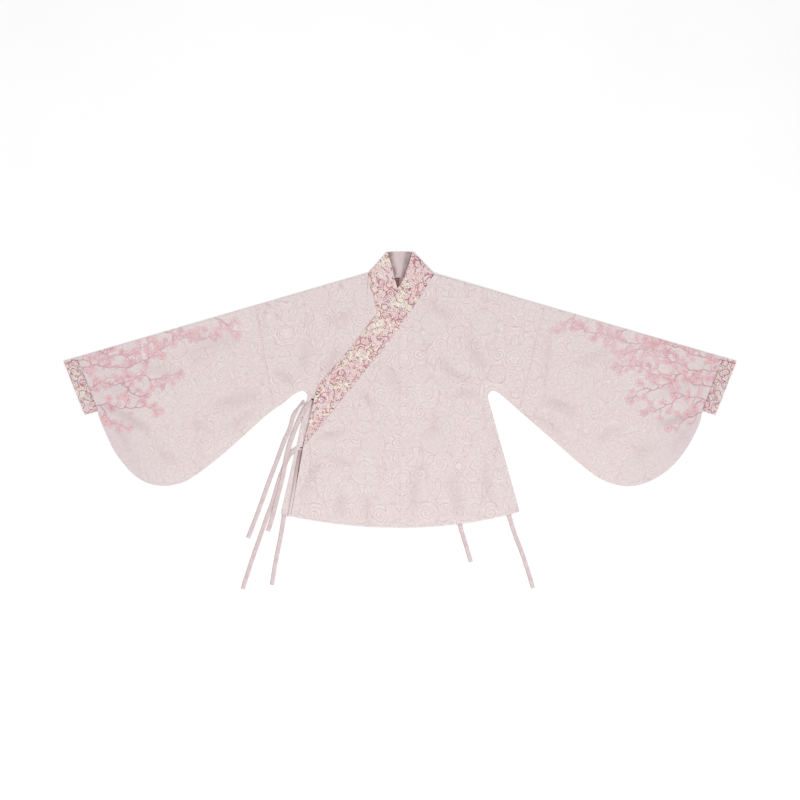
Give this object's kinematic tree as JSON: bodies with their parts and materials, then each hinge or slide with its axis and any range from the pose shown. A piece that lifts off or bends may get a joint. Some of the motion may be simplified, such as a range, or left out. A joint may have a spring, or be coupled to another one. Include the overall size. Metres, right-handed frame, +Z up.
{
  "type": "cross-collar hanfu jacket with pipa sleeves, laid flat",
  "caption": "Cross-collar hanfu jacket with rounded pipa sleeves, printed collar and cuff bands and cloth ties, laid flat on its back.",
  "frame": {"origin": "centre of the jacket's bounding box in plan, on the ground it lies on", "axes": "+X towards the wearer's left cuff, +Y towards the collar, +Z up, out of the front"},
  "size_m": [1.748, 0.8784, 0.0105],
  "materials": {
    "brocade": "satin tone-on-tone brocade, pale pinkish grey",
    "sleeve_brocade": "the same brocade with a soft pink blossom print near the cuffs",
    "printed_band": "matt printed band with a dense blossom pattern",
    "tie_cloth": "satin ties in the body cloth"
  },
  "bodies": {
    "root": {"body_left_half": "brocade", "body_right_half": "brocade", "outer_overlap": "brocade", "outer_overlap_side_hem": "brocade", "inner_overlap": "brocade", "sleeve_left": "sleeve_brocade", "sleeve_right": "sleeve_brocade", "cuff_left": "printed_band", "cuff_right": "printed_band", "collar": "printed_band", "tie_side_upper": "tie_cloth", "tie_outer_upper": "tie_cloth", "tie_outer_lower": "tie_cloth", "tie_side_lower": "tie_cloth", "tie_inner_upper": "tie_cloth", "tie_inner_lower": "tie_cloth"}
  },
  "joints": []
}
